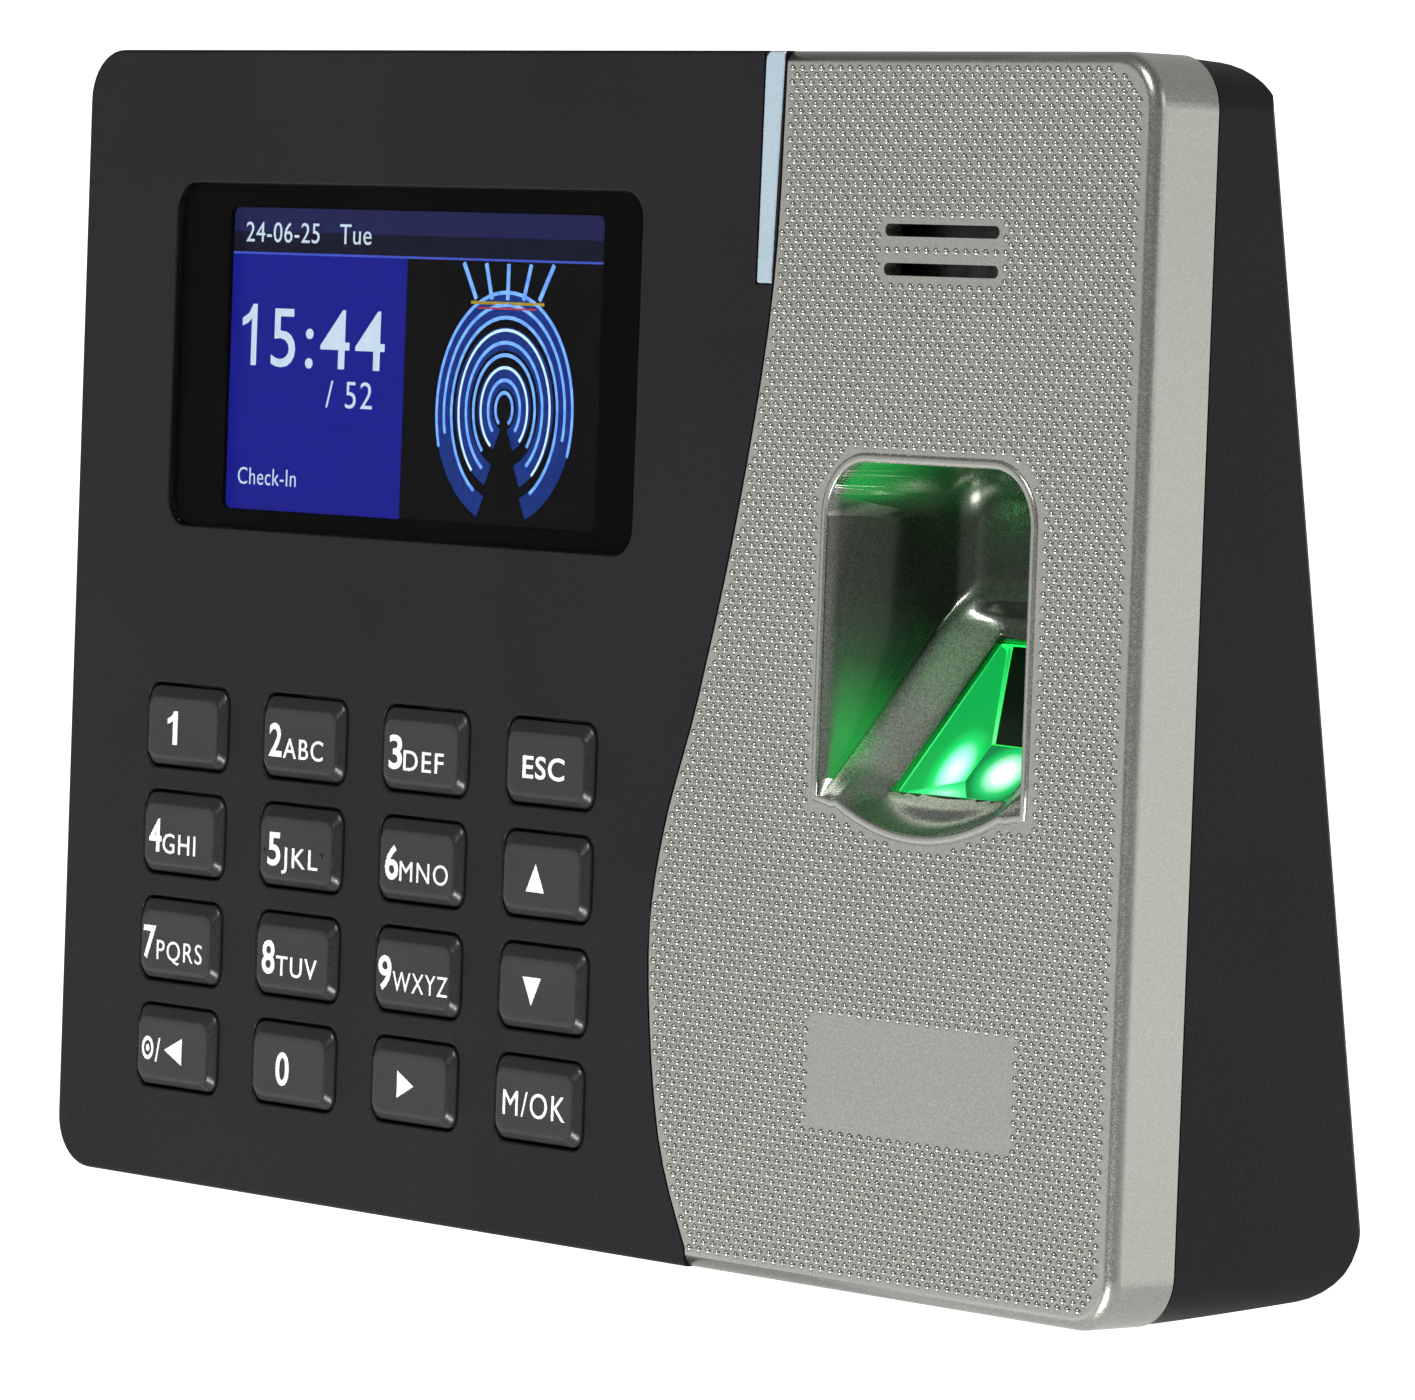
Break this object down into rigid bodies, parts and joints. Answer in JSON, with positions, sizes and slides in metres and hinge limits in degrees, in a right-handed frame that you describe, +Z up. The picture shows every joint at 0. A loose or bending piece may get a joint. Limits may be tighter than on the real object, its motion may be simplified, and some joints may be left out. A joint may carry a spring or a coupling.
{
  "type": "punch time clock",
  "caption": "Wall-mounted wedge-shaped time clock with colour screen, sprung number keypad, light bar and a deep finger well holding a sloped optical fingerprint reader.",
  "frame": {"origin": "centre of the wall plate's four screw holes, in the wall plane", "axes": "+Z up, +Y into the wall, the front looks along -Y, +X to the right seen from the front"},
  "size_m": [0.184, 0.0385, 0.1348],
  "materials": {
    "case_black": "fine moulded grain",
    "rear_black": "fine moulded grain",
    "silver_paint": "metallic silver-grey paint with fine sparkle",
    "light_blue": "milky light guide",
    "lens_black": "gloss, dark tinted",
    "display": "lit colour picture",
    "key_grey": "satin",
    "silicone_grey": "soft matte",
    "board_green": "solder mask",
    "board_blue": "solder mask",
    "flex_amber": "polyimide film",
    "chip_black": "moulded epoxy",
    "capacitor_can": "satin",
    "connector_cream": "moulded nylon",
    "cell_steel": "brushed",
    "port_steel": "tinned",
    "button_white": "moulded",
    "speaker_frame": "black",
    "foam_black": "closed-cell foam",
    "wire_red": "wire insulation",
    "prism_green": "polished optical glass, lit green from below",
    "led_green": "water-clear epoxy, lit",
    "ribbon_grey": "flat cable",
    "screw_steel": "zinc plated",
    "zinc_steel": "galvanised sheet"
  },
  "bodies": {
    "case": {"front_housing": "case_black", "side_fascia": "silver_paint", "finger_well": "silver_paint", "rear_shell": "rear_black", "light_bar": "light_blue", "light_bar_board": "board_green", "screen_lens": "lens_black", "lcd_panel": "display", "lcd_bracket": "zinc_steel", "keypad_mat": "silicone_grey", "keypad_board": "board_green", "keypad_flex": "flex_amber", "display_flex": "flex_amber", "main_board": "board_green", "board_chips": "chip_black", "board_capacitors": "capacitor_can", "board_connectors": "connector_cream", "coin_cell_holder": "chip_black", "coin_cell": "cell_steel", "usb_port": "port_steel", "ethernet_jack": "port_steel", "dc_jack": "chip_black", "reset_switch": "chip_black", "speaker": "speaker_frame", "speaker_gasket": "foam_black", "speaker_wires": "wire_red", "sensor_prism": "prism_green", "sensor_housing": "chip_black", "sensor_board": "board_blue", "sensor_leds": "led_green", "sensor_camera": "chip_black", "sensor_cable": "ribbon_grey", "case_screws": "screw_steel", "small_screws": "screw_steel", "board_screws": "screw_steel", "sensor_screws": "screw_steel", "wall_plate": "zinc_steel", "security_screw": "screw_steel"},
    "key_1_body": {"key_1": "key_grey"},
    "key_2_body": {"key_2": "key_grey"},
    "key_3_body": {"key_3": "key_grey"},
    "key_esc_body": {"key_esc": "key_grey"},
    "key_4_body": {"key_4": "key_grey"},
    "key_5_body": {"key_5": "key_grey"},
    "key_6_body": {"key_6": "key_grey"},
    "key_up_arrow_body": {"key_up_arrow": "key_grey"},
    "key_7_body": {"key_7": "key_grey"},
    "key_8_body": {"key_8": "key_grey"},
    "key_9_body": {"key_9": "key_grey"},
    "key_down_arrow_body": {"key_down_arrow": "key_grey"},
    "key_back_body": {"key_back": "key_grey"},
    "key_0_body": {"key_0": "key_grey"},
    "key_next_body": {"key_next": "key_grey"},
    "key_ok_body": {"key_ok": "key_grey"},
    "reset_body": {"reset_button": "button_white"}
  },
  "joints": [
    {"name": "key_1_press", "type": "slide", "parent": "case", "child": "key_1_body", "axis": [0, 0.9868, -0.1619], "range_m": [0, 0.0009], "stiffness_N_per_m": 900},
    {"name": "key_2_press", "type": "slide", "parent": "case", "child": "key_2_body", "axis": [0, 0.9868, -0.1619], "range_m": [0, 0.0009], "stiffness_N_per_m": 900},
    {"name": "key_3_press", "type": "slide", "parent": "case", "child": "key_3_body", "axis": [0, 0.9868, -0.1619], "range_m": [0, 0.0009], "stiffness_N_per_m": 900},
    {"name": "key_esc_press", "type": "slide", "parent": "case", "child": "key_esc_body", "axis": [0, 0.9868, -0.1619], "range_m": [0, 0.0009], "stiffness_N_per_m": 900},
    {"name": "key_4_press", "type": "slide", "parent": "case", "child": "key_4_body", "axis": [0, 0.9868, -0.1619], "range_m": [0, 0.0009], "stiffness_N_per_m": 900},
    {"name": "key_5_press", "type": "slide", "parent": "case", "child": "key_5_body", "axis": [0, 0.9868, -0.1619], "range_m": [0, 0.0009], "stiffness_N_per_m": 900},
    {"name": "key_6_press", "type": "slide", "parent": "case", "child": "key_6_body", "axis": [0, 0.9868, -0.1619], "range_m": [0, 0.0009], "stiffness_N_per_m": 900},
    {"name": "key_up_arrow_press", "type": "slide", "parent": "case", "child": "key_up_arrow_body", "axis": [0, 0.9868, -0.1619], "range_m": [0, 0.0009], "stiffness_N_per_m": 900},
    {"name": "key_7_press", "type": "slide", "parent": "case", "child": "key_7_body", "axis": [0, 0.9868, -0.1619], "range_m": [0, 0.0009], "stiffness_N_per_m": 900},
    {"name": "key_8_press", "type": "slide", "parent": "case", "child": "key_8_body", "axis": [0, 0.9868, -0.1619], "range_m": [0, 0.0009], "stiffness_N_per_m": 900},
    {"name": "key_9_press", "type": "slide", "parent": "case", "child": "key_9_body", "axis": [0, 0.9868, -0.1619], "range_m": [0, 0.0009], "stiffness_N_per_m": 900},
    {"name": "key_down_arrow_press", "type": "slide", "parent": "case", "child": "key_down_arrow_body", "axis": [0, 0.9868, -0.1619], "range_m": [0, 0.0009], "stiffness_N_per_m": 900},
    {"name": "key_back_press", "type": "slide", "parent": "case", "child": "key_back_body", "axis": [0, 0.9868, -0.1619], "range_m": [0, 0.0009], "stiffness_N_per_m": 900},
    {"name": "key_0_press", "type": "slide", "parent": "case", "child": "key_0_body", "axis": [0, 0.9868, -0.1619], "range_m": [0, 0.0009], "stiffness_N_per_m": 900},
    {"name": "key_next_press", "type": "slide", "parent": "case", "child": "key_next_body", "axis": [0, 0.9868, -0.1619], "range_m": [0, 0.0009], "stiffness_N_per_m": 900},
    {"name": "key_ok_press", "type": "slide", "parent": "case", "child": "key_ok_body", "axis": [0, 0.9868, -0.1619], "range_m": [0, 0.0009], "stiffness_N_per_m": 900},
    {"name": "reset_press", "type": "slide", "parent": "case", "child": "reset_body", "axis": [0, 0.1619, 0.9868], "range_m": [0, 0.0003], "stiffness_N_per_m": 1500}
  ]
}
